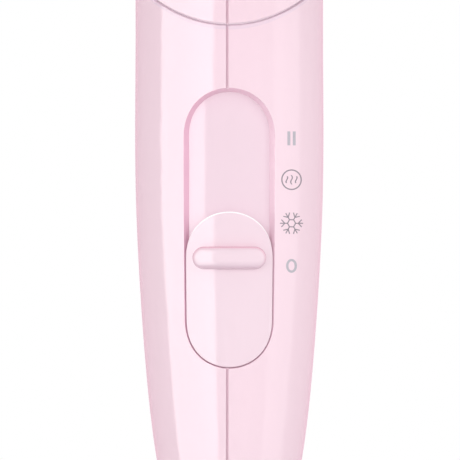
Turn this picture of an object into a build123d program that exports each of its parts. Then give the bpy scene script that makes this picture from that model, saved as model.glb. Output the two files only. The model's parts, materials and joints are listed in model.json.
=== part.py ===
from build123d import *
import math
import os

# Compact one-slider hair dryer, in millimetres.
# +Z runs up the handle, -Y is the way the air blows and the side that the switch is on,
# +X is to the right of someone who faces the switch. The origin is the mouth of the cord inlet.

# ---------------------------------------------------------------- driving sizes
seam_x = -0.4            # parting line between the left and right casing halves
wall = 2.4               # handle casing wall
seam_width = 0.5         # shadow groove along the parting line
seam_depth = 0.6

# Handle: height, half width, front of the section, rear of the section
handle_sections = [
    (3.0, 12.4, -14.6, 13.2),
    (20.0, 15.0, -17.9, 16.3),
    (38.0, 17.0, -19.8, 18.2),
    (56.0, 18.25, -20.0, 19.2),
    (74.0, 18.95, -20.0, 19.8),
    (92.0, 19.0, -20.0, 20.0),
    (110.0, 18.95, -20.0, 20.1),
    (130.0, 18.9, -20.0, 20.2),
    (150.0, 18.9, -20.0, 20.2),
]
handle_end = handle_sections[0][0]
handle_end_round = 4.5

# Joint between the handle casing and the barrel casing: an arc in side view, low at the front
joint_radius = 65.0
joint_centre_y = 20.0
joint_centre_z = 53.8
joint_gap = 0.12
neck_proud = 0.5         # the neck stands proud of the handle by this much
neck_wall = 2.1
rim_bevel = 0.9          # along the neck's lower edge
spigot_reach = 6.0       # how far the handle's spigot runs up into the neck
spigot_wall = 1.75
spigot_fit = 0.05

# Barrel
axis_z = 157.0           # height of the blowing axis
barrel_front = -92.0
barrel_rear = 38.0
barrel_wall = 2.2
barrel_outline = [(-92.0, 25.0), (-62.0, 28.6), (-24.0, 33.8), (8.0, 35.5), (28.0, 34.2), (38.0, 31.6)]
neck_blend = 7.0

# Slider and its pocket
pocket_low = 36.3
pocket_high = 92.7
pocket_width = 18.1
pocket_level = -17.4     # y at which the pocket is as wide as stated
side_lean = 1.0          # how fast the pocket's long walls lean inwards
end_lean = 0.33          # the same for its round ends
slider_length = 31.6
slider_width = 17.6
slider_travel = 23.8     # three steps between four positions
floor_radius = 28.0      # the pocket's floor is a flatter curve than the handle
floor_front = -17.6
tray_width = 19.0
tray_low = 34.4
tray_high = 94.6
tray_back = -12.8
plate_gap = 0.25
rib_height = 58.6        # height of the thumb rib's middle
rib_length = 14.75
rib_width = 4.5
rib_rise = 1.9
rib_round = 1.6
plate_round = 0.28
stem_low = 38.9
stem_length = 4.5
stem_width = 2.6

# Outlet
collar_radius = 22.8
collar_bore = 20.4
collar_tip = -104.0
nozzle_tip = -142.0

# Fan and motor
motor_radius = 13.9
motor_front = -18.0
motor_rear = 14.0
shaft_radius = 1.0
fan_radius = 27.8
fan_hub_radius = 10.0
fan_front = 16.5
fan_rear = 27.5
duct_radius = 28.4
duct_outer = 30.4
blade_count = 9
vane_count = 7

# Cord inlet and hanging loop
cord_bore = 3.6
gland_length = 16.0
loop_hole = 5.5
loop_outer = 9.0
loop_front = 8.6
loop_thickness = 3.5
loop_centre_z = -6.5

big = 400.0


# ---------------------------------------------------------------- helpers
def below(z):
    """Everything under the height z."""
    return Pos(0, 0, z - big / 2) * Box(big, big, big)


def above(z):
    return Pos(0, 0, z + big / 2) * Box(big, big, big)


def ahead_of(y):
    """Everything further towards -Y than y."""
    return Pos(0, y - big / 2, 0) * Box(big, big, big)


def left_of(x):
    return Pos(x - big / 2, 0, 0) * Box(big, big, big)


def right_of(x):
    return Pos(x + big / 2, 0, 0) * Box(big, big, big)


handle_forms = {}


def handle_form(inset):
    """The handle's outer form, taken in by inset all round, up to the barrel's axis."""
    if inset not in handle_forms:
        rings = [
            Pos(0, (front + rear) / 2, z) * Ellipse(half_width - inset, (rear - front) / 2 - inset)
            for z, half_width, front, rear in handle_sections
        ]
        handle_forms[inset] = loft(rings)
    return handle_forms[inset]


def under_joint(grow=0.0):
    """Everything under the arc where the handle casing ends."""
    disc = Pos(0, joint_centre_y, joint_centre_z) * Rot(0, 90, 0) * Cylinder(joint_radius + grow, big)
    return disc + below(joint_centre_z)


def turned(outline):
    """Turns (y, radius) corners about the blowing axis."""
    face = make_face(Plane.YZ * Polyline(*outline, close=True))
    return Pos(0, 0, axis_z) * revolve(face, Axis.Y)


def ring(y_front, y_rear, inner, outer):
    return turned([(y_front, inner), (y_rear, inner), (y_rear, outer), (y_front, outer)])


def disc(y_front, y_rear, radius):
    return turned([(y_front, 0), (y_rear, 0), (y_rear, radius), (y_front, radius)])


def barrel_form(inset, reach=0.0):
    """The barrel's outer form, taken in by inset and lengthened by reach at both ends."""
    points = [(y, r - inset) for y, r in barrel_outline]
    front, rear = points[0], points[-1]
    line = Plane.YZ * Spline(*points)
    edges = [
        line,
        Plane.YZ * Polyline(front, (front[0] - reach, front[1]), (front[0] - reach, 0), (rear[0] + reach, 0),
                            (rear[0] + reach, rear[1]), rear),
    ] if reach else [line, Plane.YZ * Polyline(front, (front[0], 0), (rear[0], 0), rear)]
    return Pos(0, 0, axis_z) * revolve(make_face(edges), Axis.Y)


def across(y, z, radius, x_low, x_high):
    """A round bar along X."""
    return Pos((x_low + x_high) / 2, y, z) * Rot(0, 90, 0) * Cylinder(radius, x_high - x_low)


def upright(x, y, radius, z_low, z_high):
    return Pos(x, y, (z_low + z_high) / 2) * Cylinder(radius, z_high - z_low)


def block(x, y, z):
    """A box from three (low, high) pairs."""
    return Pos(sum(x) / 2, sum(y) / 2, sum(z) / 2) * Box(x[1] - x[0], y[1] - y[0], z[1] - z[0])


def long_outline(width, low, high, y):
    """A round-ended outline along Z, standing at y."""
    return Pos(0, y, (low + high) / 2) * Rot(-90, 0, 0) * Rot(0, 0, 90) * SlotOverall(high - low, width)


def long_hole(width, low, high, y_front, y_rear):
    return extrude(long_outline(width, low, high, y_front), y_rear - y_front, dir=(0, 1, 0))


def pocket_form(width, low, high, y_front=-21.5, y_rear=-15.0):
    """The form of the slider's pocket: a round-ended hole whose walls lean inwards with depth."""
    outlines = []
    for y in (y_front, y_rear):
        deeper = y - pocket_level
        end = end_lean * (y + 20.0)
        outlines.append(long_outline(width - 2 * side_lean * deeper, low + end, high - end, y))
    return loft(outlines, ruled=True)


def behind_floor(gap=0.0):
    """Everything behind the pocket's floor, which is a shallow cylinder along Z."""
    front = floor_front + gap
    return upright(0, front + floor_radius, floor_radius, 0, 120)


def fan_of(piece, count):
    """Copies of a piece spread evenly round the blowing axis."""
    centre = Pos(0, 0, axis_z)
    return [centre * Rot(0, 360 / count * n, 0) * centre.inverse() * piece for n in range(count)]


def together(pieces):
    body = pieces[0]
    for piece in pieces[1:]:
        body = body + piece
    return body


# ---------------------------------------------------------------- casing
handle_screws_at = [(11.0, 37.0), (11.5, 99.0)]       # y, z
neck_screws_at = [(1.5, 119.3)]
screw_shank = 1.4
screw_head = 2.7
screw_head_depth = 1.3
screw_seat = 4.0         # x of the head's underside in the handle
neck_screw_seat = 17.4


def seam_groove(outer, inner):
    """The shadow groove that follows the parting line round a casing."""
    slab = block((seam_x - seam_width / 2, seam_x + seam_width / 2), (-big / 2, big / 2), (-big / 2, big / 2))
    return slab & (outer - inner)


def handle_casing():
    outer = handle_form(0)
    end_edges = outer.edges().group_by(Axis.Z)[0]
    outer = fillet(end_edges, handle_end_round)
    cavity = handle_form(wall) & above(handle_end + wall)
    shell = (outer & under_joint()) - cavity
    spigot = handle_form(neck_wall - neck_proud + spigot_fit) - handle_form(neck_wall - neck_proud + spigot_fit + spigot_wall)
    spigot = (spigot & under_joint(spigot_reach)) - under_joint(-spigot_reach)
    shell = shell + spigot
    shell = shell - (seam_groove(outer, handle_form(seam_depth)) & under_joint() & above(handle_end + handle_end_round))
    pocket = pocket_form(pocket_width, pocket_low, pocket_high)
    tray_seat = long_hole(tray_width, tray_low, tray_high, -18.0, -8.0) & behind_floor()
    return shell - tray_seat - pocket, outer


def posts(casing, form, places, seat, left):
    """Adds the screw posts to a left or right casing half, and drills them."""
    for y, z in places:
        if left:
            post = across(y, z, 3.0, -30, seam_x) & form
            casing = casing + post - across(y, z, screw_shank, -10, seam_x)
        else:
            post = across(y, z, 3.6, seam_x, 30) & form
            casing = casing + post - across(y, z, screw_shank + 0.15, seam_x - 1, 30)
            casing = casing - across(y, z, screw_head + 0.2, seat, 30)
    return casing


def handle_shells():
    casing, outer = handle_casing()
    gland_hole = upright(0, 0, 6.5, 0, 6) + upright(0, 0, 8.0, 5.5, 8.4)
    foot_slot = block((-3.15, 3.15), (loop_front - 0.05, loop_front + loop_thickness + 0.05), (2, 6))
    foot_slot = foot_slot + block((-5.25, 5.25), (loop_front - 0.05, 11.05), (handle_end + wall, 8.05))
    casing = casing - gland_hole - foot_slot
    left = casing & left_of(seam_x)
    right = casing - left_of(seam_x)
    left = posts(left, outer, handle_screws_at, screw_seat, True)
    right = posts(right, outer, handle_screws_at, screw_seat, False)
    inner_neck = handle_form(neck_wall - neck_proud + spigot_fit)
    for y, z in neck_screws_at:
        left = left + (across(y, z, 2.8, -30, seam_x) & inner_neck) - across(y, z, screw_shank, -11, seam_x)
        right = right + (across(y, z, 2.8, seam_x, 30) & inner_neck) - across(y, z, screw_shank + 0.15, seam_x - 1, 30)
    clamp_posts = [across(y, 24.0, 2.4, -30, 4.0) & outer for y in clamp_screws_y]
    for y, post in zip(clamp_screws_y, clamp_posts):
        left = left + post - across(y, 24.0, 1.1, -6, 5)
    return left, right


def barrel_casing():
    neck = handle_form(-neck_proud) & above(90) & below(axis_z - 10)
    barrel = barrel_form(0)
    body = neck + barrel
    near = [
        e for e in body.edges()
        if e.bounding_box().max.Z < axis_z - 20 and e.bounding_box().min.Z > 118
        and e.bounding_box().max.Y < 25 and e.bounding_box().min.Y > -25
    ]
    body = fillet(near, neck_blend)
    body = body - under_joint(joint_gap)
    arc_face = min(body.faces(), key=lambda face: face.center().Z)
    body = chamfer(arc_face.edges(), rim_bevel)
    body = body - seam_groove(body_skin_outer(), body_skin_inner())
    return body


def body_skin_outer():
    return handle_form(-neck_proud - 3) + barrel_form(-3)


def body_skin_inner():
    return (handle_form(-neck_proud + seam_depth) & below(axis_z)) + barrel_form(seam_depth)


def barrel_shells():
    body = barrel_casing()
    cavity = barrel_form(barrel_wall, reach=2.0) + (handle_form(neck_wall - neck_proud) & below(axis_z))
    body = body - cavity
    left = body & left_of(seam_x)
    right = body - left_of(seam_x)
    for y, z in neck_screws_at:
        right = right - across(y, z, screw_shank + 0.15, seam_x, 30) - across(y, z, screw_head + 0.2, neck_screw_seat, 30)
    return left, right


clamp_screws_y = [-6.6, 6.6]


# ---------------------------------------------------------------- slider, tray and switch
def slider_button():
    low = pocket_low + 0.15
    high = low + slider_length
    plate = (pocket_form(slider_width, low, high) & handle_form(0.05)) - behind_floor(-plate_gap)
    front = min(plate.faces(), key=lambda face: face.center().Y)
    plate = fillet(front.edges(), plate_round)
    rib = Pos(0, 0, rib_height) * Rot(-90, 0, 0) * SlotOverall(rib_length, rib_width)
    rib = extrude(Pos(0, -24.0, 0) * rib, 6.4, dir=(0, 1, 0)) & handle_form(-rib_rise)
    rim = [e for e in rib.edges() if e.bounding_box().max.Y < -18.6]
    rib = fillet(rim, rib_round)
    stem = block((-stem_width / 2, stem_width / 2), (floor_front - 1.4, -10.6), (stem_low, stem_low + stem_length))
    return plate + rib + stem


def switch_tray():
    """The insert that is the pocket's floor in front and carries the switch behind."""
    tray = long_hole(tray_width, tray_low, tray_high, -18.0, tray_back) & behind_floor()
    tab = block((-6.0, 6.0), (-14.6, tray_back), (28.5, 40.0))
    tray = tray + fillet(tab.edges().filter_by(Axis.Y), 1.5)
    half_slot = stem_width / 2 + 0.3
    tray = tray - block((-half_slot, half_slot), (-20, -10), (stem_low - 0.3, stem_low + stem_length + slider_travel + 0.3))
    for z in switch_screws_z:
        tray = tray - upright_y(0, z, 1.25, -14.0, -10.0)
    return tray


switch_low = 35.0
switch_high = 71.0
switch_screws_z = (32.2, 73.8)
carrier_low = 36.7
carrier_length = 9.0
terminals_z = [carrier_low + carrier_length / 2 + slider_travel / 3 * n for n in range(4)]


def switch_housing():
    body = block((-6.0, 6.0), (-12.6, -3.6), (switch_low, switch_high))
    room = block((-4.8, 4.8), (-11.4, -4.8), (switch_low + 1.4, switch_high - 1.4))
    ears = block((-6.0, 6.0), (-12.6, -10.6), (switch_low - 5.5, switch_high + 5.5))
    body = body + fillet(ears.edges().filter_by(Axis.Y), 2.0) - room
    body = body - block((-1.7, 1.7), (-13, -11), (stem_low - 0.4, stem_low + stem_length + slider_travel + 0.4))
    for z in switch_screws_z:
        body = body - upright_y(0, z, 1.35, -13, -10)
    for z in terminals_z:
        body = body - block((-0.45, 0.45), (-6, -3), (z - 1.45, z + 1.45))
    return body


def upright_y(x, z, radius, y_front, y_rear):
    """A round bar along Y."""
    return Pos(x, (y_front + y_rear) / 2, z) * Rot(90, 0, 0) * Cylinder(radius, y_rear - y_front)


def switch_carrier():
    body = block((-4.6, 4.6), (-11.2, -7.2), (carrier_low, carrier_low + carrier_length))
    socket = block((-stem_width / 2, stem_width / 2), (-12, -10.6), (stem_low, stem_low + stem_length))
    return body - socket


def switch_wiper():
    return block((-3.2, 3.2), (-7.2, -6.4), (carrier_low + 1.5, carrier_low + carrier_length - 1.5))


def switch_terminals():
    tabs = [
        block((-2.6, 2.6), (-6.0, -4.8), (z - 1.6, z + 1.6)) + block((-0.4, 0.4), (-5.0, 0.6), (z - 1.4, z + 1.4))
        for z in terminals_z
    ]
    return [tab - upright_x(0, -0.9, z) for tab, z in zip(tabs, terminals_z)]


def upright_x(x, y, z):
    """The small hole through a terminal's tab."""
    return across(y, z, 0.6, x - 2, x + 2)


def switch_screws():
    return [upright_y(0, z, 1.25, -14.0, -10.6) + upright_y(0, z, 2.2, -10.6, -9.2) for z in switch_screws_z]


# ---------------------------------------------------------------- cord inlet and hanging loop
def cord_gland():
    outside = upright(0, 0, 7.4, 0, handle_end) + upright(0, 0, 6.45, 0, gland_length)
    groove_lip = upright(0, 0, 7.9, handle_end + wall + 0.2, handle_end + wall + 2.8)
    body = outside + groove_lip
    body = fillet(body.edges().group_by(Axis.Z)[0], 1.0)
    return body - upright(0, 0, cord_bore, -1, gland_length + 1)


def cord_clamp():
    bar = block((4.0, 7.0), (-9.2, 9.2), (21.0, 27.0))
    bar = fillet(bar.edges().filter_by(Axis.X), 1.5)
    bar = bar - Pos(2.2, 0, 24) * Cylinder(3.4, 8)
    for y in clamp_screws_y:
        bar = bar - across(y, 24.0, 1.25, 3, 8)
    return bar


def clamp_screws():
    return [across(y, 24.0, 1.1, -4, 7.0) + across(y, 24.0, 2.1, 7.0, 8.4) for y in clamp_screws_y]


def hanging_loop():
    middle_y = loop_front + loop_thickness / 2
    eye = upright_y(0, loop_centre_z, loop_outer, loop_front, loop_front + loop_thickness)
    stem = block((-3.1, 3.1), (loop_front, loop_front + loop_thickness), (loop_centre_z, 5.9))
    foot = block((-5.2, 5.2), (loop_front, 11.0), (handle_end + wall + 0.05, 8.0))
    body = eye + stem
    body = body - upright_y(0, loop_centre_z, loop_hole, middle_y - 10, middle_y + 10)
    hole_rim = 2 * math.pi * loop_hole
    edges = [e for e in body.edges() if e.bounding_box().max.Z < 2.5 and abs(e.length - hole_rim) > 0.5]
    body = fillet(edges, 0.9)
    return body + foot


# ---------------------------------------------------------------- fasteners
def pan_screw(y, z, seat, length):
    """A self-tapping screw along X with its head towards +X and a cross recess."""
    head = across(y, z, screw_head, seat, seat + screw_head_depth)
    head = fillet(head.edges().group_by(Axis.X)[-1], 0.5)
    cross = block((seat + 0.5, seat + 3), (y - 1.6, y + 1.6), (z - 0.35, z + 0.35))
    cross = cross + block((seat + 0.5, seat + 3), (y - 0.35, y + 0.35), (z - 1.6, z + 1.6))
    return head - cross + across(y, z, screw_shank, seat - length, seat)


# ---------------------------------------------------------------- outlet end
def outlet_collar():
    body = turned([
        (-84.0, collar_bore), (collar_tip, collar_bore), (collar_tip, collar_radius - 0.8),
        (collar_tip + 0.8, collar_radius), (barrel_front - 1.6, collar_radius), (barrel_front - 1.6, 24.2),
        (barrel_front, 24.9), (barrel_front, 22.7), (-84.0, 22.7),
    ])
    return body


def spoked_grille(sheet, outer, ring_radii, ring_width, spokes, spoke_width):
    """Rings and spokes cut from a flat or domed sheet."""
    reach = (-big / 2, big / 2)
    bars = [ring(*reach, r - ring_width / 2, r + ring_width / 2) for r in ring_radii]
    bars.append(ring(*reach, outer - 2.0, outer))
    hub = disc(*reach, ring_radii[0])
    spoke = block((-spoke_width / 2, spoke_width / 2), reach, (axis_z + ring_radii[0] - 0.3, axis_z + outer - 0.5))
    grid = sheet & hub
    for bar in bars + fan_of(spoke, spokes):
        grid = grid + (sheet & bar)
    return grid


def outlet_grille():
    return spoked_grille(disc(-97.0, -95.4, collar_bore), collar_bore, [3.2, 7.4, 11.6, 15.8], 1.2, 6, 1.4)


def nozzle():
    """The slot nozzle: a round socket that turns on the collar and narrows to a flat mouth."""
    def section(y, half_width, half_height, power_round):
        return Pos(0, y, axis_z) * Rot(90, 0, 0) * RectangleRounded(2 * half_width, 2 * half_height, power_round)

    def passage(inset, start):
        rings = [
            section(start, 25.4 - inset, 25.4 - inset, 25.3 - inset),
            section(-135.0, 31.0 - inset, 6.4 - inset, 6.3 - inset),
            section(nozzle_tip, 31.5 - inset, 5.6 - inset, 5.5 - inset),
        ]
        return loft(rings, ruled=True)

    body = ring(-105.5, -93.9, collar_radius + 0.25, 25.4) + passage(0, -105.5)
    body = body - passage(2.0, -105.5) - ring(-106.2, -93.8, 0, collar_radius + 0.25)
    return body


# ---------------------------------------------------------------- inlet end
def rear_grille():
    """The domed guard over the air intake, on a rim that plugs into the barrel."""
    dome = 5.0
    rim_radius = 27.6
    curve = (rim_radius ** 2 + dome ** 2) / (2 * dome)
    top = 40.4 + dome
    shell = Sphere(curve) - Sphere(curve - 2.0)
    sheet = Pos(0, top - curve, axis_z) * shell & disc(38.0, 60.0, rim_radius)
    grid = spoked_grille(sheet, rim_radius, [2.8, 7.0, 11.2, 15.4, 19.6, 23.8], 1.7, 12, 1.5)
    rim = turned([(33.0, 28.0), (33.0, 29.3), (38.1, 29.3), (38.1, 31.4), (39.4, 31.1), (40.3, 30.0),
                  (40.6, 28.6), (40.4, 26.4), (38.2, 26.4), (38.2, 28.0)])
    return grid + rim


def inlet_filter_frame():
    frame = ring(33.4, 35.0, 25.2, 27.8)
    bar = block((-0.8, 0.8), (33.4, 35.0), (axis_z, axis_z + 25.6))
    for spoke in fan_of(bar, 4):
        frame = frame + spoke
    return frame


# ---------------------------------------------------------------- fan and motor
def impeller():
    hub = ring(fan_front, fan_rear, 0, fan_hub_radius)
    hub = fillet(hub.edges().group_by(Axis.Y)[-1], 3.0)
    hub = hub - disc(fan_front - 1, fan_rear - 4.0, fan_hub_radius - 2) + disc(fan_front, fan_rear - 3, 3.2)
    root = Pos(0, (fan_front + fan_rear) / 2, axis_z + fan_hub_radius - 0.8) * Rot(0, 0, 52) * Rectangle(1.4, 12.0)
    tip = Pos(0, (fan_front + fan_rear) / 2, axis_z + fan_radius + 1.0) * Rot(0, 0, 66) * Rectangle(1.0, 14.5)
    blade = loft([root, tip]) & ring(fan_front, fan_rear - 0.6, fan_hub_radius - 1.2, fan_radius)
    for one in fan_of(blade, blade_count):
        hub = hub + one
    return hub - disc(fan_front - 1, fan_rear - 3.5, shaft_radius)


def fan_duct():
    """Fixed guide vanes that hold the motor in the middle of the air path."""
    body = ring(motor_front + 7, 31.0, duct_radius, duct_outer)
    sleeve = ring(motor_front + 5, motor_rear - 2, motor_radius + 0.05, motor_radius + 1.6)
    root = Pos(0, 2.5, axis_z + motor_radius + 0.8) * Rot(0, 0, -16) * Rectangle(1.4, 20.0)
    tip = Pos(0, 2.5, axis_z + duct_radius + 0.8) * Rot(0, 0, -22) * Rectangle(1.4, 20.0)
    vane = loft([root, tip])
    body = body + sleeve
    for one in fan_of(vane, vane_count):
        body = body + one
    return body


def motor_can():
    can = disc(motor_front + 1.5, motor_rear, motor_radius) + disc(motor_rear, motor_rear + 1.5, 3.2)
    can = can - disc(motor_front, motor_rear - 1.2, motor_radius - 1.0)
    return can - disc(motor_rear - 3, motor_rear + 3, shaft_radius + 0.05)


def motor_end_cap():
    cap = disc(motor_front, motor_front + 1.5, motor_radius) + disc(motor_front + 1.5, motor_front + 4.0, motor_radius - 1.0)
    cap = cap + disc(motor_front - 1.5, motor_front, 3.0)
    cap = cap - disc(motor_front + 2.5, motor_front + 5, motor_radius - 3.0)
    return cap - disc(motor_front - 3, motor_front + 5, shaft_radius + 0.05)


def motor_magnets():
    whole = ring(-11.0, 10.0, 9.9, motor_radius - 1.0)
    cut = block((-big, big), (-big, big), (axis_z - 4.5, axis_z + 4.5))
    return (whole - cut).solids()


def armature():
    stack = ring(-8.0, 8.0, shaft_radius, 9.3)
    slot = block((-0.7, 0.7), (-9, 9), (axis_z + 5.0, axis_z + 10))
    for one in fan_of(slot, 3):
        stack = stack - one
    return stack


def commutator():
    return ring(-14.5, -9.0, shaft_radius, 3.4)


def motor_shaft():
    return disc(motor_front - 3.0, fan_rear - 3.5, shaft_radius)


def motor_brushes():
    return [
        block((x - 1.4, x + 1.4), (-13.5, -11.0), (axis_z - 1.4, axis_z + 1.4))
        for x in (-5.0, 5.0)
    ]


def rectifier_board():
    board = disc(-23.2, -21.6, 12.0) - disc(-24, -21, 2.2)
    return board


def diodes():
    return [
        Pos(x, -24.9, axis_z + z) * Rot(0, 90, 0) * Cylinder(1.35, 5.2)
        for x, z in ((-5.5, 5.0), (5.5, 5.0), (-5.5, -5.0), (5.5, -5.0))
    ]


# ---------------------------------------------------------------- heater
heater_front = -88.0
heater_rear = -30.0
board_half = 16.6
coil_radius = 17.3
coil_wire = 0.5
coil_pitch = 5.2


def mica_board(upright_one):
    """One of two slotted boards that cross along the blowing axis."""
    half = 0.4
    length = heater_rear - heater_front
    middle = (heater_rear + heater_front) / 2
    if upright_one:
        board = block((-half, half), (heater_front, heater_rear), (axis_z - board_half, axis_z + board_half))
        return board - block((-half - 0.02, half + 0.02), (middle, heater_rear + 1), (axis_z - half - 0.02, axis_z + half + 0.02))
    board = block((-board_half, board_half), (heater_front, heater_rear), (axis_z - half, axis_z + half))
    return board - block((-half - 0.02, half + 0.02), (heater_front - 1, heater_front + length / 2), (axis_z - 1, axis_z + 1))


def heating_coil():
    turns_length = heater_rear - heater_front - 12
    path = Helix(pitch=coil_pitch, height=turns_length, radius=coil_radius)
    section = Plane(origin=path @ 0, z_dir=path % 0) * Circle(coil_wire)
    coil = sweep(section, path=path, is_frenet=True)
    return Pos(0, heater_rear - 6, axis_z) * Rot(90, 0, 0) * coil


def mica_sleeve():
    return ring(-91.0, -27.0, 19.2, 19.9)


def heater_ring():
    """The ring that centres the mica sleeve in the barrel."""
    body = ring(-31.0, -27.0, 19.95, 21.4)
    bar = block((-1.0, 1.0), (-31.0, -27.0), (axis_z + 20.8, axis_z + 31.0)) & barrel_form(barrel_wall + 0.1)
    for arm in fan_of(bar, 6):
        body = body + arm
    return body


def thermostat():
    plate = block((2.0, 6.5), (-50.0, -38.0), (axis_z + 1.0, axis_z + 2.6))
    strip = block((2.6, 5.9), (-54.0, -39.0), (axis_z + 3.4, axis_z + 3.8))
    rivet = upright(4.25, -40.5, 1.2, axis_z + 1.0, axis_z + 4.6)
    return plate + strip + rivet


def thermal_fuse():
    return Pos(-5.5, -44.0, axis_z + 2.9) * Rot(90, 0, 0) * Cylinder(2.0, 11.0)


# ---------------------------------------------------------------- wiring
def wire(points, radius=0.9):
    """An insulated lead along straight runs joined by tangent arcs."""
    corners = [Vector(*p) for p in points]
    radii = []
    for before, here, after in zip(corners, corners[1:], corners[2:]):
        turn = math.radians((here - before).get_angle(after - here))
        run = min((here - before).length, (after - here).length)
        radii.append(0.45 * run / math.tan(turn / 2))
    path = FilletPolyline(*points, radius=radii)
    section = Plane(origin=path @ 0, z_dir=path % 0) * Circle(radius)
    return sweep(section, path=path)


def motor_leads():
    upper, lower = terminals_z[3], terminals_z[2]
    end = [(3.5, 0, 92.0), (4.5, -6.5, 108.0), (4.8, -11.0, 120.5), (5.2, -19.5, 132.0), (5.5, -22.4, 144.9)]
    first = [(0, 0.6, upper), (0, 3.2, upper), (0.6, 3.6, upper + 5)] + end
    second = [(0, 0.6, lower), (0, 3.2, lower), (-2.6, 3.6, lower + 5)] + [(-x, y, z) for x, y, z in end]
    return [wire(first), wire(second)]


def heater_leads():
    upper, lower = terminals_z[1], terminals_z[0]
    end = [(8.5, 1.0, 78.0), (9.0, -5.0, 106.0), (9.0, -9.6, 121.5), (9.0, -19.0, 131.5), (8.4, -25.5, 146.5),
           (8.0, -31.0, 155.45), (8.0, -38.0, 155.45)]
    first = [(0, 0.6, upper), (0, 3.4, upper), (4.8, 3.2, upper + 7)] + end
    second = [(0, 0.6, lower), (0, 3.4, lower), (-5.2, 3.2, lower + 9)] + [(-x, y, z) for x, y, z in end]
    return [wire(first, 1.1), wire(second, 1.1)]


def capacitor():
    body = block((-5.0, 5.0), (6.5, 12.0), (52.0, 65.0))
    return fillet(body.edges().filter_by(Axis.Z), 0.8)


# ---------------------------------------------------------------- write the parts
def solids_of(piece):
    if isinstance(piece, (list, tuple)):
        return Compound(children=[s for one in piece for s in one.solids()])
    return piece


def main():
    handle_left, handle_right = handle_shells()
    barrel_left, barrel_right = barrel_shells()
    parts = {
        "handle_shell_left": handle_left,
        "handle_shell_right": handle_right,
        "barrel_shell_left": barrel_left,
        "barrel_shell_right": barrel_right,
        "slider_button": slider_button(),
        "switch_tray": switch_tray(),
        "switch_housing": switch_housing(),
        "switch_carrier": switch_carrier(),
        "switch_wiper": switch_wiper(),
        "switch_terminals": switch_terminals(),
        "switch_screws": switch_screws(),
        "cord_gland": cord_gland(),
        "cord_clamp": cord_clamp(),
        "cord_clamp_screws": clamp_screws(),
        "hanging_loop": hanging_loop(),
        "handle_screws": [pan_screw(y, z, screw_seat, 12) for y, z in handle_screws_at],
        "neck_screw": [pan_screw(y, z, neck_screw_seat, 28) for y, z in neck_screws_at],
        "outlet_collar": outlet_collar(),
        "outlet_grille": outlet_grille(),
        "nozzle": nozzle(),
        "rear_grille": rear_grille(),
        "inlet_filter_frame": inlet_filter_frame(),
        "impeller": impeller(),
        "fan_duct": fan_duct(),
        "motor_can": motor_can(),
        "motor_end_cap": motor_end_cap(),
        "motor_magnets": motor_magnets(),
        "motor_armature": armature(),
        "motor_commutator": commutator(),
        "motor_shaft": motor_shaft(),
        "motor_brushes": motor_brushes(),
        "rectifier_board": rectifier_board(),
        "rectifier_diodes": diodes(),
        "mica_board_upright": mica_board(True),
        "mica_board_flat": mica_board(False),
        "mica_sleeve": mica_sleeve(),
        "heater_ring": heater_ring(),
        "heating_coil": heating_coil(),
        "thermostat": thermostat(),
        "thermal_fuse": thermal_fuse(),
        "motor_leads": motor_leads(),
        "heater_leads": heater_leads(),
        "capacitor": capacitor(),
    }
    os.makedirs("parts", exist_ok=True)
    for name, piece in parts.items():
        export_step(solids_of(piece), f"parts/{name}.step")


main()
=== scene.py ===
import json
import math

import bpy
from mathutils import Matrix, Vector


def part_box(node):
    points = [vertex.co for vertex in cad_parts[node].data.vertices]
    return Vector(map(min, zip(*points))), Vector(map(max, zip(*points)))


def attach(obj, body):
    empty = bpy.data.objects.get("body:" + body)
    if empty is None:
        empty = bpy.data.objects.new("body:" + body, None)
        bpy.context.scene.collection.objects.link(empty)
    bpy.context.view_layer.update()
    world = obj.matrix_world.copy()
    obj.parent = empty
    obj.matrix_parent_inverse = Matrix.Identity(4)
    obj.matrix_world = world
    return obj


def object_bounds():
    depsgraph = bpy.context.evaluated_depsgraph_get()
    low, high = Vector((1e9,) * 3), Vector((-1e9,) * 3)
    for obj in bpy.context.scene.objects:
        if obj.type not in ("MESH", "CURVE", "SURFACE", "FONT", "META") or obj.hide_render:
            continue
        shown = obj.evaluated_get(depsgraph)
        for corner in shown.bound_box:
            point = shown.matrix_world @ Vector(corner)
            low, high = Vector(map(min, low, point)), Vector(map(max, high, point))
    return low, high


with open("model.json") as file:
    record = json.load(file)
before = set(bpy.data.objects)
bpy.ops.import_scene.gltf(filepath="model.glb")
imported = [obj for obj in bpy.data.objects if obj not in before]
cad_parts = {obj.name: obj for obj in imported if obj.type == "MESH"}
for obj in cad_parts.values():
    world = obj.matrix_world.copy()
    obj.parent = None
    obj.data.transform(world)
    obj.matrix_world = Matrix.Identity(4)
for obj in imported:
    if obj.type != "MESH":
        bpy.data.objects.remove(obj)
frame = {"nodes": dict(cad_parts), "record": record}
cadLow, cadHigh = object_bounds()
nodes = frame["nodes"]
slotOf = {part["node"]: part["material_slot"] for part in frame["record"]["subparts"]}
mm = 0.001
print("frame loaded:", len(nodes), "parts")


# camera: square on to the switch, from far off so the handle is drawn almost without perspective
camera = {
    "across": 92.97 * mm, "height": 64.2 * mm, "side": 0.14 * mm,
    "distance": 2.4, "sensor": 36.0, "farthest": 20,
}


def addCamera():
    bpy.ops.object.camera_add(location=(camera["side"], -camera["distance"], camera["height"]),
                              rotation=(math.pi / 2, 0, 0))
    eye = bpy.context.object
    eye.name = "camera"
    eye.data.sensor_width = camera["sensor"]
    eye.data.lens = camera["sensor"] * camera["distance"] / camera["across"]
    eye.data.clip_end = camera["farthest"]
    bpy.context.scene.camera = eye


addCamera()
print("camera set")


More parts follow.
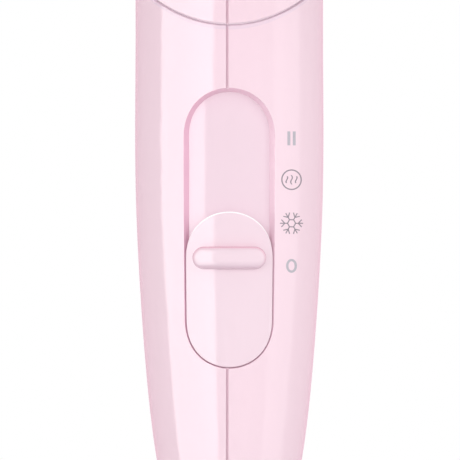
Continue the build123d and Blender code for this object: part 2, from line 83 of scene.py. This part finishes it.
# studio: an even tent of light, long softboxes that only their reflections show, and washes
studio = {
    "tent": {  # colour and strength of what lights a surface, what a gloss mirrors and what is seen behind
        "lit": ((1.0, 0.985, 0.99), 0.64),
        "mirrored": ((0.93, 0.57, 0.70), 0.97),
        "card": ((1.0, 1.0, 1.0), 1.0),
    },
    "strips": {  # between two bearings, counted from the front towards the right, each with its distance
        "leftStrip": {"from": (-19.6, 0.62), "to": (-93.8, 0.50), "height": 1.3, "middle": 0.10, "glow": 3.6},
        "rightStrip": {"from": (58.0, 0.60), "to": (98.0, 0.55), "height": 1.3, "middle": 0.10, "glow": 0.9},
    },
    "washes": {  # panels that light the surfaces evenly: width and height, and whether a gloss shows them
        "leftFront": {"place": (-1.2, -2.5, 0.62), "size": (2.6, 1.2), "glow": 2.3, "mirrored": False},
        "rightFront": {"place": (2.2, -1.65, 0.62), "size": (2.2, 1.2), "glow": 2.9, "mirrored": False},
        "top": {"place": (0.0, -0.12, 1.0), "size": (0.8, 0.8), "glow": 0.9, "mirrored": True},
    },
}


def addPanel(name, place, width, height, glow, aim):
    bpy.ops.object.light_add(type="AREA", location=place)
    panel = bpy.context.object
    panel.name = name
    panel.data.shape = "RECTANGLE"
    panel.data.size = width
    panel.data.size_y = height
    panel.data.energy = glow * math.pi * width * height
    panel.rotation_euler = (aim - panel.location).to_track_quat("-Z", "Y").to_euler()
    panel.visible_camera = False
    return panel


def atBearing(bearing, distance, height):
    turn = math.radians(bearing)
    return Vector((math.sin(turn) * distance, -math.cos(turn) * distance, height))


def addStrips():
    for name, strip in studio["strips"].items():
        start, end = (atBearing(*strip[key], strip["middle"]) for key in ("from", "to"))
        place = (start + end) / 2
        along = end - start
        inward = Vector((-along.y, along.x, 0))
        if inward.dot(place) > 0:
            inward.negate()
        panel = addPanel(name, place, along.length, strip["height"], strip["glow"], place + inward)
        panel.visible_diffuse = False


def addWashes():
    for name, wash in studio["washes"].items():
        panel = addPanel(name, wash["place"], *wash["size"], wash["glow"], Vector((0, 0, cadHigh.z / 2)))
        panel.visible_glossy = wash["mirrored"]


def addTent():
    world = bpy.data.worlds.new("tent")
    world.use_nodes = True
    bpy.context.scene.world = world
    tree = world.node_tree
    rays = tree.nodes.new("ShaderNodeLightPath")
    glows = {"lit": tree.nodes["Background"]}
    glows["mirrored"] = tree.nodes.new("ShaderNodeBackground")
    glows["card"] = tree.nodes.new("ShaderNodeBackground")
    for name, (colour, strength) in studio["tent"].items():
        glows[name].inputs["Color"].default_value = (*colour, 1)
        glows[name].inputs["Strength"].default_value = strength
    last = glows["lit"]
    for ray, name in (("Is Glossy Ray", "mirrored"), ("Is Camera Ray", "card")):
        mix = tree.nodes.new("ShaderNodeMixShader")
        tree.links.new(rays.outputs[ray], mix.inputs[0])
        tree.links.new(last.outputs[0], mix.inputs[1])
        tree.links.new(glows[name].outputs[0], mix.inputs[2])
        last = mix
    tree.links.new(last.outputs[0], tree.nodes["World Output"].inputs["Surface"])
    bpy.context.scene.view_settings.view_transform = "Standard"


addStrips()
addWashes()
addTent()
print("studio lit")


# finishes
class Socket:  # an output of a shader node that can be used in ordinary sums
    def __init__(self, finish, link):
        self.finish = finish
        self.link = link

    def maths(self, operation, first, second):
        return self.finish.node("ShaderNodeMath", {"operation": operation}, {0: first, 1: second})

    def __add__(self, other):
        return self.maths("ADD", self, other)

    def __radd__(self, other):
        return self.maths("ADD", other, self)

    def __sub__(self, other):
        return self.maths("SUBTRACT", self, other)

    def __rsub__(self, other):
        return self.maths("SUBTRACT", other, self)

    def __mul__(self, other):
        return self.maths("MULTIPLY", self, other)

    def __rmul__(self, other):
        return self.maths("MULTIPLY", other, self)

    def __pow__(self, other):
        return self.maths("POWER", self, other)

    def __gt__(self, other):
        return self.maths("GREATER_THAN", self, other)

    def __lt__(self, other):
        return self.maths("LESS_THAN", self, other)

    def limited(self, lowest, highest):
        return self.maths("MAXIMUM", self.maths("MINIMUM", self, highest), lowest)


class Finish:
    def __init__(self, name):
        self.material = bpy.data.materials.new(name)
        self.material.use_nodes = True
        self.tree = self.material.node_tree

    def fill(self, sockets, values):
        for key, value in values.items():
            if isinstance(value, Socket):
                self.tree.links.new(value.link, sockets[key])
            else:
                sockets[key].default_value = value

    def node(self, kind, settings=None, inputs=None, out=0):
        made = self.tree.nodes.new(kind)
        for key, value in (settings or {}).items():
            setattr(made, key, value)
        self.fill(made.inputs, inputs or {})
        return Socket(self, made.outputs[out])

    def give(self, values):
        self.fill(self.tree.nodes["Principled BSDF"].inputs, values)

    def place(self, stretch=(1, 1, 1)):
        here = self.node("ShaderNodeTexCoord", out="Object")
        return self.node("ShaderNodeMapping", {"vector_type": "POINT"}, {"Vector": here, "Scale": stretch})

    def axes(self, coordinate, wanted):
        # "Object" gives where a point is, "Normal" which way its surface faces
        here = self.node("ShaderNodeTexCoord", out=coordinate)
        return [self.node("ShaderNodeSeparateXYZ", None, {"Vector": here}, axis) for axis in wanted]

    def noise(self, scale, detail, stretch=(1, 1, 1), rough=0.5):
        inputs = {"Vector": self.place(stretch), "Scale": scale, "Detail": detail, "Roughness": rough}
        return self.node("ShaderNodeTexNoise", None, inputs, "Fac")

    def blendColour(self, amount, first, second):
        # a Mix node set to colours takes them in its sockets 6 and 7 and gives them in its output 2
        ends = [end if isinstance(end, Socket) else (*end, 1) for end in (first, second)]
        return self.node("ShaderNodeMix", {"data_type": "RGBA"}, {0: amount, 6: ends[0], 7: ends[1]}, 2)

    def shaded(self, amount, colour, shades):
        # from the first shade of a colour to the second
        return self.blendColour(amount, *(shade(colour, strength) for strength in shades))

    def bump(self, height, strength, distance):
        inputs = {"Height": height, "Strength": strength, "Distance": distance}
        return self.node("ShaderNodeBump", None, inputs)


def shade(colour, strength):
    return tuple(min(1.0, c * strength) for c in colour)


# in the finishes' dictionaries a noise is its fineness and its detail, and shades are a darker and a
# lighter one; roughFrom is taken off the roughness, and the noise adds up to roughBy
polish = {
    "cloud": (38, 3), "fine": (420, 2), "hair": (260, 2), "hairStretch": (9, 9, 0.6), "cloudShare": 0.7,
    "lighter": 0.018, "darker": (0.6, 1.6, 1.2), "cloudRough": 0.035, "hairRough": 0.06, "hairSharp": 3,
    "peel": 0.10, "peelDepth": 0.02 * mm, "bending": 1.49,
}


def clouding(finish):
    # faint clouding for the colour and the gloss, and a trace of orange peel
    cloud = finish.noise(*polish["cloud"])
    fine = finish.noise(*polish["fine"])
    tone = cloud * polish["cloudShare"] + fine * (1 - polish["cloudShare"])
    finish.give({"IOR": polish["bending"],
                 "Normal": finish.bump(cloud * 0.5 + fine * 0.5, polish["peel"], polish["peelDepth"])})
    return cloud, tone


def polishedPlastic(name, colour, roughness=0.09, tones=()):
    finish = Finish(name)  # a polished shell with faint hairlines, and other tones where they are given
    cloud, tone = clouding(finish)
    hair = finish.noise(*polish["hair"], polish["hairStretch"])
    dark = tuple(c * (1 - polish["lighter"] * share) for c, share in zip(colour, polish["darker"]))
    skin = finish.blendColour(tone, dark, shade(colour, 1 + polish["lighter"]))
    # each further tone is painted light or shade, laid on where its mask is above 0
    for other, where in tones:
        skin = finish.blendColour(where(finish), skin, other)
    rough = roughness + cloud * polish["cloudRough"] + hair ** polish["hairSharp"] * polish["hairRough"]
    finish.give({"Base Color": skin, "Roughness": rough})
    return finish.material


# painted shade on the sloping recess walls round the insert, darkest on the left wall, turned from the lights
recess = {"insert": "switch_tray", "reach": 11 * mm, "leastInward": 1 * mm, "depth": 0.72, "leftWallShadeShare": 0.4}


def recessWall(finish):
    # painted shade, above 0 where a surface faces in towards the recess's middle line, more on the left wall
    low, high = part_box(recess["insert"])
    middle = (low.z + high.z) / 2
    run = (high.z - low.z - (high.x - low.x)) / 2
    x, y, z = finish.axes("Object", "XYZ")
    faceX, faceZ = finish.axes("Normal", "XZ")
    up = z - middle
    past = up - up.limited(-run, run)
    inward = 0 - (x * faceX + past * faceZ)
    near = (x * x + past * past < recess["reach"] ** 2) * (y < 0)
    return (inward > recess["leastInward"]) * near * (recess["depth"] + faceX * recess["leftWallShadeShare"])


# the arc, seen from the side, along which the neck of the barrel meets the handle
neckJoint = {
    "centreY": 20.0 * mm, "centreZ": 53.8 * mm, "radius": 65.0 * mm,
    "edge": 0.52 * mm, "bevel": 1.3 * mm, "bevelFacing": -0.3,
}


def fromJointCentre(finish):
    y, z = finish.axes("Object", "YZ")
    back = y - neckJoint["centreY"]
    up = z - neckJoint["centreZ"]
    return (back * back + up * up) ** 0.5


def handleEdgeShade(finish):
    # 1 on the handle's edge along the joint and on the spigot past it, which get a darker tone as painted
    # shade
    return fromJointCentre(finish) > neckJoint["radius"] - neckJoint["edge"]


def neckBevelReflection(finish):
    # 1 on the bevel along the neck's lower edge, which faces down and gets a paler, greyer tone as painted
    # reflection
    near = fromJointCentre(finish) < neckJoint["radius"] + neckJoint["bevel"]
    return near * (finish.axes("Normal", "Z")[0] < neckJoint["bevelFacing"])


# the slider: how far the plate's upper edge and the rib reach below its top and behind its front, and the
# painted highlight and painted shades they get
sliderLook = {
    "plateEdge": 6.6 * mm, "plateDeep": 4.2 * mm, "plateFacing": 0.15,
    "ribLow": 12.6 * mm, "ribDeep": 2.6 * mm, "ribSharp": 1.25,
    "shades": (0.985, 1.015), "roughness": 0.10, "under": 0.9, "round": (0.55, 0.45),
    "edgeHighlight": (1.0, 0.98, 0.99), "ribUnderShade": (0.66, 0.52, 0.60), "ribOutlineShade": (0.76, 0.30, 0.43),
}


def sliderPlastic(name, colour):
    # a painted highlight line on the plate's upper edge, painted mauve shade under the rib and a deeper
    # painted shade line round it
    finish = Finish(name)
    cloud, tone = clouding(finish)
    low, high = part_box("slider_button")
    y, z = finish.axes("Object", "YZ")
    faceY, faceZ = finish.axes("Normal", "YZ")
    edgeFoot = high.z - sliderLook["plateEdge"]
    onEdgeHighlight = (z > edgeFoot) * (faceZ > sliderLook["plateFacing"]) * (y < low.y + sliderLook["plateDeep"])
    onRib = (z < edgeFoot) * (z > high.z - sliderLook["ribLow"]) * (y < low.y + sliderLook["ribDeep"])
    turned = (1 + faceY * sliderLook["ribSharp"]).limited(0, 1)  # 0 on the rib's crown, 1 on its sides
    least, upper = sliderLook["round"]
    downward = (0 - faceZ).limited(0, 1)
    skin = finish.shaded(tone, colour, sliderLook["shades"])
    # painted highlight: a near-white line where the plate's upper edge faces up
    skin = finish.blendColour(onEdgeHighlight, skin, sliderLook["edgeHighlight"])
    # painted shade: mauve on the rib's lower half, where it faces down
    skin = finish.blendColour(onRib * downward * sliderLook["under"], skin, sliderLook["ribUnderShade"])
    # painted shade: a deep pink line round the rib's sides, strongest where they face up
    skin = finish.blendColour(onRib * turned * (least + faceZ * upper), skin, sliderLook["ribOutlineShade"])
    finish.give({"Base Color": skin, "Roughness": sliderLook["roughness"] + cloud * polish["cloudRough"]})
    return finish.material


mould = {
    "cloud": (60, 3), "fine": (1500, 3), "cloudShare": 0.6, "shades": (0.86, 1.12),
    "roughFrom": 0.06, "roughBy": 0.14, "grainDepth": 0.06 * mm,
}


def mouldedPlastic(name, colour, roughness=0.45, grain=0.25):
    finish = Finish(name)  # a spark-eroded mould's even grain
    cloud = finish.noise(*mould["cloud"])
    fine = finish.noise(*mould["fine"])
    tone = cloud * mould["cloudShare"] + fine * (1 - mould["cloudShare"])
    finish.give({"Base Color": finish.shaded(tone, colour, mould["shades"]),
                 "Roughness": roughness - mould["roughFrom"] + fine * mould["roughBy"],
                 "Normal": finish.bump(fine, grain, mould["grainDepth"])})
    return finish.material


rubber = {
    "cloud": (90, 4), "fine": (2200, 2), "shades": (0.90, 1.08),
    "roughFrom": 0.08, "roughBy": 0.16, "grain": 0.22, "grainDepth": 0.05 * mm,
}


def softRubber(name, colour, roughness=0.6):
    finish = Finish(name)
    cloud = finish.noise(*rubber["cloud"])
    fine = finish.noise(*rubber["fine"])
    finish.give({"Base Color": finish.shaded(cloud, colour, rubber["shades"]),
                 "Roughness": roughness - rubber["roughFrom"] + cloud * rubber["roughBy"],
                 "Normal": finish.bump(fine, rubber["grain"], rubber["grainDepth"])})
    return finish.material


metal = {
    "streak": (240, 4), "ragged": 0.65, "cloud": (45, 3), "shades": (0.80, 1.15),
    "roughFrom": 0.08, "roughBy": 0.2, "cloudRough": 0.04, "scratchDepth": 0.03 * mm,
}


def drawnMetal(name, colour, roughness=0.3, stretch=(1, 14, 14), scratch=0.2):
    finish = Finish(name)  # drawn or brushed along the axis that stretch scales least
    streak = finish.noise(*metal["streak"], stretch, metal["ragged"])
    cloud = finish.noise(*metal["cloud"])
    tone = streak * 0.5 + cloud * 0.5
    rough = roughness - metal["roughFrom"] + streak * metal["roughBy"] + cloud * metal["cloudRough"]
    finish.give({"Base Color": finish.shaded(tone, colour, metal["shades"]),
                 "Roughness": rough, "Metallic": 1.0,
                 "Normal": finish.bump(streak, scratch, metal["scratchDepth"])})
    return finish.material


mica = {
    "flakes": 420, "flakeShare": 0.18, "cloud": (120, 4), "shades": (0.72, 1.25),
    "rough": 0.28, "roughBy": 0.3, "relief": 0.3, "reliefDepth": 0.05 * mm,
}


def micaSheet(name, colour):
    finish = Finish(name)  # flakes pressed into a sheet
    inputs = {"Vector": finish.place(), "Scale": mica["flakes"]}
    flake = finish.node("ShaderNodeTexVoronoi", {"feature": "F1"}, inputs, "Color")
    cloud = finish.noise(*mica["cloud"])
    sheet = finish.shaded(cloud, colour, mica["shades"])
    finish.give({"Base Color": finish.blendColour(mica["flakeShare"], sheet, flake),
                 "Roughness": mica["rough"] + cloud * mica["roughBy"],
                 "Normal": finish.bump(cloud, mica["relief"], mica["reliefDepth"])})
    return finish.material


phenolic = {
    "fibre": (300, 5), "stretch": (1, 1, 8), "shades": (0.75, 1.2),
    "rough": 0.4, "roughBy": 0.15, "relief": 0.2, "reliefDepth": 0.04 * mm,
}


def phenolicBoard(name, colour):
    finish = Finish(name)  # paper layers show as long fibres
    fibre = finish.noise(*phenolic["fibre"], phenolic["stretch"])
    finish.give({"Base Color": finish.shaded(fibre, colour, phenolic["shades"]),
                 "Roughness": phenolic["rough"] + fibre * phenolic["roughBy"],
                 "Normal": finish.bump(fibre, phenolic["relief"], phenolic["reliefDepth"])})
    return finish.material


ink = {
    "speck": (2600, 3), "cloud": (300, 2), "shades": (0.88, 1.12),
    "rough": 0.32, "roughBy": 0.14, "relief": 0.15, "reliefDepth": 0.01 * mm,
}


def printedInk(name, colour):
    finish = Finish(name)  # pad-printed ink, a little uneven in its thickness
    speck = finish.noise(*ink["speck"])
    cloud = finish.noise(*ink["cloud"])
    tone = speck * 0.5 + cloud * 0.5
    finish.give({"Base Color": finish.shaded(tone, colour, ink["shades"]),
                 "Roughness": ink["rough"] + speck * ink["roughBy"],
                 "Normal": finish.bump(speck, ink["relief"], ink["reliefDepth"])})
    return finish.material


# three of these pinks are painted: a shade along the neck joint, a reflection on the neck's bevel and a shade
# on the recess walls
colours = {
    "casing": (0.850, 0.690, 0.752), "jointShade": (0.80, 0.655, 0.735), "bevel": (0.86, 0.74, 0.80),
    "recess": (0.76, 0.47, 0.59), "insert": (0.810, 0.668, 0.732), "slider": (0.825, 0.685, 0.745),
    "nozzle": (0.840, 0.668, 0.735), "grille": (0.830, 0.600, 0.675), "collar": (0.62, 0.60, 0.62),
    "loop": (0.83, 0.58, 0.66), "gland": (0.80, 0.56, 0.63),
    "paleInk": (0.46, 0.46, 0.50), "darkInk": (0.27, 0.25, 0.28),
    "outletSteel": (0.55, 0.55, 0.56), "platedSteel": (0.58, 0.58, 0.59), "screwNickel": (0.66, 0.65, 0.63),
    "groundSteel": (0.72, 0.72, 0.74), "brass": (0.75, 0.55, 0.24), "copper": (0.72, 0.38, 0.22),
    "nichrome": (0.34, 0.32, 0.30), "tinned": (0.62, 0.62, 0.63),
    "filterNylon": (0.09, 0.09, 0.10), "switchBlack": (0.02, 0.02, 0.022), "whiteNylon": (0.72, 0.71, 0.66),
    "fanNylon": (0.045, 0.045, 0.05), "duct": (0.62, 0.60, 0.55), "ferrite": (0.05, 0.05, 0.055),
    "carbon": (0.02, 0.02, 0.02), "board": (0.30, 0.17, 0.06), "mica": (0.52, 0.42, 0.26),
    "blackLead": (0.02, 0.02, 0.022), "whiteLead": (0.78, 0.76, 0.70), "epoxy": (0.36, 0.17, 0.02),
}
finishes = {  # by the parts' slots, and one more for the handle's two shells
    # the casing's bevel tone is a painted reflection; the handle's recess and joint tones are painted shade
    "casing": polishedPlastic("casingPink", colours["casing"], tones=[(colours["bevel"], neckBevelReflection)]),
    "handle": polishedPlastic("handlePink", colours["casing"], tones=[
        (colours["recess"], recessWall), (colours["jointShade"], handleEdgeShade)]),
    "insert": polishedPlastic("insertPink", colours["insert"], roughness=0.07),
    "slider": sliderPlastic("sliderPink", colours["slider"]),
    "nozzle": polishedPlastic("nozzlePink", colours["nozzle"], roughness=0.16),
    "collar": polishedPlastic("collarGrey", colours["collar"], roughness=0.18),
    "grille": polishedPlastic("grillePink", colours["grille"], roughness=0.22),
    "loop": polishedPlastic("loopPink", colours["loop"], roughness=0.25),
    "rubber": softRubber("glandRubber", colours["gland"]),
    "outlet_steel": drawnMetal("outletSteel", colours["outletSteel"], roughness=0.34, stretch=(6, 1, 6)),
    "filter_plastic": mouldedPlastic("filterNylon", colours["filterNylon"]),
    "dark_plastic": mouldedPlastic("switchPhenolic", colours["switchBlack"], roughness=0.4),
    "inner_plastic": mouldedPlastic("whiteNylon", colours["whiteNylon"], roughness=0.4, grain=0.12),
    "fan_plastic": mouldedPlastic("fanNylon", colours["fanNylon"], roughness=0.42),
    "duct_plastic": mouldedPlastic("ductPlastic", colours["duct"]),
    "steel": drawnMetal("platedSteel", colours["platedSteel"], roughness=0.32, stretch=(14, 1, 14)),
    "screw_steel": drawnMetal("screwNickel", colours["screwNickel"], roughness=0.24, stretch=(1, 1, 1),
                              scratch=0.1),
    "shaft_steel": drawnMetal("groundSteel", colours["groundSteel"], roughness=0.16, stretch=(30, 1, 30)),
    "brass": drawnMetal("plainBrass", colours["brass"], stretch=(1, 6, 1)),
    "copper": drawnMetal("bareCopper", colours["copper"], stretch=(1, 10, 1)),
    "magnet": mouldedPlastic("ferrite", colours["ferrite"], roughness=0.55),
    "carbon": mouldedPlastic("carbon", colours["carbon"], roughness=0.6),
    "board": phenolicBoard("brownBoard", colours["board"]),
    "mica": micaSheet("micaSheet", colours["mica"]),
    "nichrome": drawnMetal("nichrome", colours["nichrome"], roughness=0.38, stretch=(1, 1, 1), scratch=0.3),
    "fuse": drawnMetal("tinnedCan", colours["tinned"], stretch=(8, 1, 8)),
    "wire_black": softRubber("blackLead", colours["blackLead"], roughness=0.45),
    "wire_white": softRubber("whiteLead", colours["whiteLead"], roughness=0.7),
    "film": polishedPlastic("dippedEpoxy", colours["epoxy"], roughness=0.2),
}
for name, part in nodes.items():
    part.data.materials.clear()
    part.data.materials.append(finishes["handle" if name.startswith("handle_shell") else slotOf[name]])
print("finishes made:", len(finishes))


# helpers for new pieces
def choose(piece):
    # this piece alone is selected, and is the active one
    bpy.ops.object.select_all(action="DESELECT")
    piece.select_set(True)
    bpy.context.view_layer.objects.active = piece


def settle(piece, name):
    choose(piece)
    bpy.ops.object.transform_apply(location=True, rotation=True, scale=True)
    piece.name = name
    piece.data.name = name
    return piece


def addModifier(piece, kind, **settings):
    choose(piece)
    made = piece.modifiers.new(kind.lower(), kind)
    for key, value in settings.items():
        setattr(made, key, value)
    bpy.ops.object.modifier_apply(modifier=made.name)


def joined(pieces):
    choose(pieces[0])
    for piece in pieces:
        piece.select_set(True)
    if len(pieces) > 1:
        bpy.ops.object.join()
    return pieces[0]


def edit(piece, kind="FACE"):
    # opens the piece's mesh with all of it selected
    choose(piece)
    bpy.ops.object.mode_set(mode="EDIT")
    bpy.ops.mesh.select_mode(type=kind)
    bpy.ops.mesh.select_all(action="SELECT")


def leave():
    bpy.ops.object.mode_set(mode="OBJECT")


# marks beside the switch's four positions, printed on the casing, in mm
marks = {
    "column": 12.5, "start": -30.0, "lift": 0.012, "thick": 0.03, "cell": 0.22, "ringSteps": 64,
    "high": {"height": 82.6, "bar": (0.56, 2.80), "apart": 1.08},
    "warm": {
        "height": 74.3, "radius": 1.95, "stroke": 0.24, "waves": 3, "gap": 0.95, "tall": 1.9,
        "outerTall": 0.72, "sway": 0.16, "swing": 1.1, "steps": 14,
    },
    "cool": {
        "height": 65.55, "radius": 2.32, "stroke": 0.20, "core": 0.82, "coreTurn": 30,
        "barbStart": 1.36, "barb": 1.0, "barbTurn": 47, "arms": 6, "firstArm": 30,
    },
    "off": {"height": 57.0, "half": (0.86, 1.16), "stroke": 0.46},
}


def flatBar(x, z, wide, tall, turn=0.0, around=(0, 0)):
    # a bar in the XZ plane, turned about a point in it
    a = math.radians(turn)
    dx, dz = x - around[0], z - around[1]
    x = around[0] + dx * math.cos(a) - dz * math.sin(a)
    z = around[1] + dx * math.sin(a) + dz * math.cos(a)
    bpy.ops.mesh.primitive_plane_add(size=mm, location=(x * mm, marks["start"] * mm, z * mm),
                                     rotation=(math.pi / 2, -a, 0))
    bar = bpy.context.object
    bar.scale = (wide, tall, 1)
    bpy.ops.object.transform_apply(location=True, rotation=True, scale=True)
    edit(bar)
    bpy.ops.mesh.subdivide(number_cuts=max(1, round(max(wide, tall) / marks["cell"])))
    leave()
    return bar


def flatRing(x, z, half, stroke):
    # half is half the ring's width and height, to the middle of its stroke
    centre = (x * mm, marks["start"] * mm, z * mm)
    inner = [size - stroke / 2 for size in half]
    outer = [size + stroke / 2 for size in half]
    bpy.ops.mesh.primitive_circle_add(vertices=marks["ringSteps"], radius=mm, fill_type="NOTHING",
                                      location=centre, rotation=(math.pi / 2, 0, 0))
    ring = bpy.context.object
    ring.scale = (*inner, 1)
    bpy.ops.object.transform_apply(location=True, rotation=True, scale=True)
    edit(ring, "VERT")
    bpy.ops.mesh.extrude_edges_move()
    bpy.ops.transform.resize(value=(outer[0] / inner[0], 1, outer[1] / inner[1]), center_override=centre)
    bpy.ops.mesh.select_all(action="SELECT")
    bpy.ops.mesh.normals_make_consistent(inside=False)
    leave()
    return ring


def wavyBar(x, tall):
    # a thin upright strip that sways as it rises
    warm = marks["warm"]
    bpy.ops.mesh.primitive_grid_add(x_subdivisions=1, y_subdivisions=warm["steps"], size=mm,
                                    location=(x * mm, marks["start"] * mm, warm["height"] * mm),
                                    rotation=(math.pi / 2, 0, 0))
    bar = bpy.context.object
    bar.scale = (warm["stroke"], tall, 1)
    bpy.ops.object.transform_apply(location=True, rotation=True, scale=True)
    for corner in bar.data.vertices:
        rise = (corner.co.z / mm - warm["height"]) / warm["tall"]
        corner.co.x += warm["sway"] * mm * math.sin(rise * 2 * math.pi * warm["swing"])
    return bar


def turnedCopy(piece, turn, around):
    choose(piece)
    bpy.ops.object.duplicate(linked=False)
    made = bpy.context.view_layer.objects.active
    edit(made)
    bpy.ops.transform.rotate(value=math.radians(turn), orient_axis="Y",
                             center_override=(around[0] * mm, marks["start"] * mm, around[1] * mm))
    leave()
    return made


def printMark(pieces, name, finish):
    # the flat mark is thrown straight back onto the casing and gets the ink's thickness
    mark = joined(pieces)
    addModifier(mark, "SHRINKWRAP", target=nodes["handle_shell_right"], wrap_method="PROJECT",
                use_project_x=False, use_project_y=True, use_project_z=False,
                use_positive_direction=True, use_negative_direction=False, offset=marks["lift"] * mm)
    addModifier(mark, "SOLIDIFY", thickness=marks["thick"] * mm, offset=0)
    edit(mark)
    bpy.ops.mesh.normals_make_consistent(inside=False)
    leave()
    settle(mark, name)
    mark.data.materials.clear()
    mark.data.materials.append(finish)
    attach(mark, "housing")


def printHigh(finish):
    high = marks["high"]
    offsets = (-high["apart"] / 2, high["apart"] / 2)
    bars = [flatBar(marks["column"] + offset, high["height"], *high["bar"]) for offset in offsets]
    printMark(bars, "markHigh", finish)


def printWarm(finish):
    warm = marks["warm"]
    middle = (warm["waves"] - 1) / 2
    pieces = []
    for n in range(warm["waves"]):
        tall = warm["tall"] if n == middle else warm["tall"] * warm["outerTall"]
        pieces.append(wavyBar(marks["column"] + (n - middle) * warm["gap"], tall))
    half = (warm["radius"], warm["radius"])
    pieces.append(flatRing(marks["column"], warm["height"], half, warm["stroke"]))
    printMark(pieces, "markWarm", finish)


def printCool(finish):
    cool = marks["cool"]
    x, z = marks["column"], cool["height"]
    centre = (x, z)
    root = (x, z + cool["barbStart"])
    coreHeight = z + cool["core"] * math.cos(math.pi / cool["arms"])
    arm = [
        flatBar(x, z + (cool["radius"] + cool["core"]) / 2, cool["stroke"], cool["radius"] - cool["core"]),
        flatBar(x, coreHeight, cool["core"], cool["stroke"], cool["coreTurn"], centre),
    ]
    for side in (-1, 1):  # a pair of barbs that open outwards
        arm.append(flatBar(x, root[1] + cool["barb"] / 2, cool["stroke"], cool["barb"],
                           side * cool["barbTurn"], root))
    arm = joined(arm)
    turns = [cool["firstArm"] + 360 / cool["arms"] * n for n in range(cool["arms"])]
    flake = [turnedCopy(arm, turn, centre) for turn in turns]
    choose(arm)
    bpy.ops.object.delete()
    printMark(flake, "markCool", finish)


def printOff(finish):
    off = marks["off"]
    printMark([flatRing(marks["column"], off["height"], off["half"], off["stroke"])], "markOff", finish)


greyInk = printedInk("greyInk", colours["paleInk"])
darkInk = printedInk("darkGreyInk", colours["darkInk"])  # the finer marks are printed darker
printHigh(greyInk)
printWarm(darkInk)
printCool(darkInk)
printOff(greyInk)
print("marks printed")


# filter: woven wire behind the intake grille
filterMesh = {"across": 51.2 * mm, "cells": 46, "wire": 0.24 * mm}


def addFilterMesh():
    low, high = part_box("inlet_filter_frame")
    middle = (low + high) / 2
    bpy.ops.mesh.primitive_grid_add(x_subdivisions=filterMesh["cells"], y_subdivisions=filterMesh["cells"],
                                    size=filterMesh["across"], location=middle, rotation=(math.pi / 2, 0, 0))
    mesh = settle(bpy.context.object, "filterMesh")
    edit(mesh, "VERT")
    bpy.ops.mesh.select_all(action="DESELECT")
    leave()
    for corner in mesh.data.vertices:  # what lies outside the frame's rim goes
        out = math.hypot(corner.co.x - middle.x, corner.co.z - middle.z)
        corner.select = out > filterMesh["across"] / 2
    bpy.ops.object.mode_set(mode="EDIT")
    bpy.ops.mesh.delete(type="VERT")
    leave()
    addModifier(mesh, "WIREFRAME", thickness=filterMesh["wire"], use_even_offset=False)
    mesh.data.materials.clear()
    mesh.data.materials.append(finishes["steel"])
    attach(mesh, "housing")


addFilterMesh()
print("filter mesh woven")


# floor: pale, and so short behind the dryer that the camera looks over its far edge
floorPlane = {
    "size": 4.0, "middle": -0.6, "drop": 0.4 * mm,
    "tones": ((0.86, 0.86, 0.87), (0.90, 0.90, 0.90)), "cloud": (6, 3), "rough": 0.55, "roughBy": 0.1,
}


def addFloor():
    place = (0, floorPlane["middle"], cadLow.z - floorPlane["drop"])
    bpy.ops.mesh.primitive_plane_add(size=floorPlane["size"], location=place)
    floor = settle(bpy.context.object, "floor")
    finish = Finish("paleFloor")
    cloud = finish.noise(*floorPlane["cloud"])
    finish.give({"Base Color": finish.blendColour(cloud, *floorPlane["tones"]),
                 "Roughness": floorPlane["rough"] + cloud * floorPlane["roughBy"]})
    floor.data.materials.append(finish.material)
    floor.visible_glossy = False  # the low end of the handle mirrors the strips, not the floor


addFloor()
print("scene finished")
